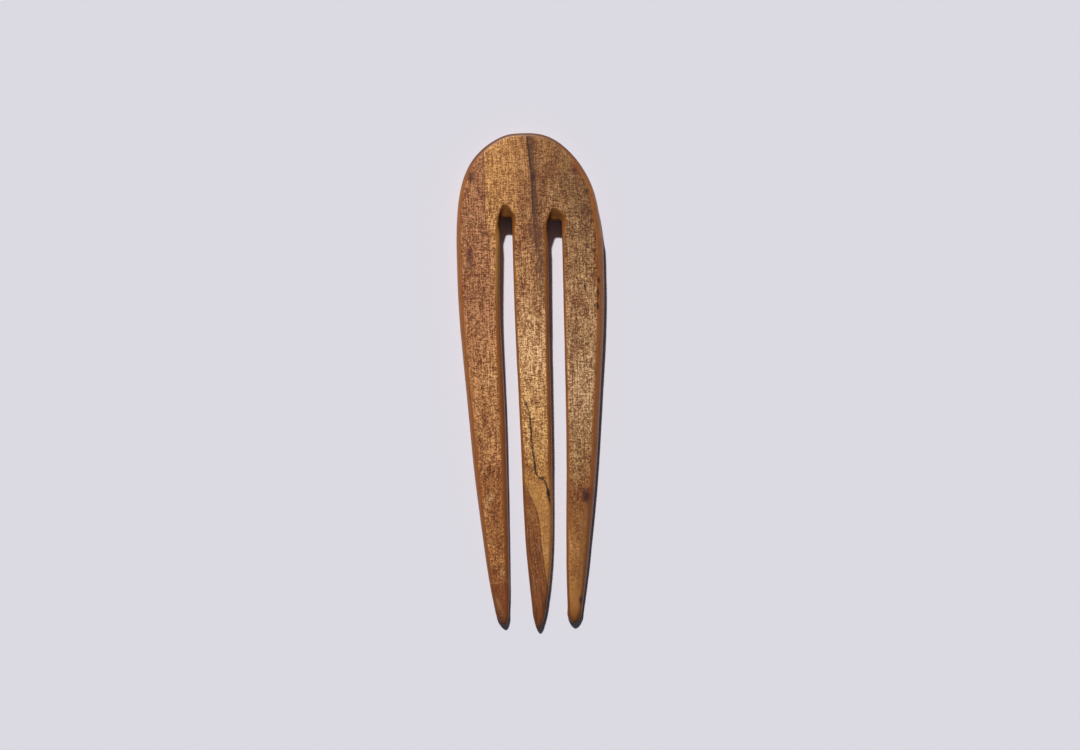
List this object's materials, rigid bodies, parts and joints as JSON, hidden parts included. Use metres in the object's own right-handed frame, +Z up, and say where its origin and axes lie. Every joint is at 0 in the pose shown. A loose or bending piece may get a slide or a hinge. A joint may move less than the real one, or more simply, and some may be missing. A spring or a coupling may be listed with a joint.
{
  "type": "hair fork",
  "caption": "One-piece carved wooden hair fork: a rounded flat head that runs into tapering prongs with blunt tips, for holding a bun or twist.",
  "frame": {"origin": "centre of the fork's outline, on the plane it rests on", "axes": "+X to the right across the prongs, +Y from the tips towards the head, +Z up out of the show face"},
  "size_m": [0.045, 0.152, 0.0065],
  "materials": {
    "wood": "oiled, hand-sanded figured hardwood with a soft sheen"
  },
  "bodies": {
    "root": {"hair_fork": "wood"}
  },
  "joints": []
}
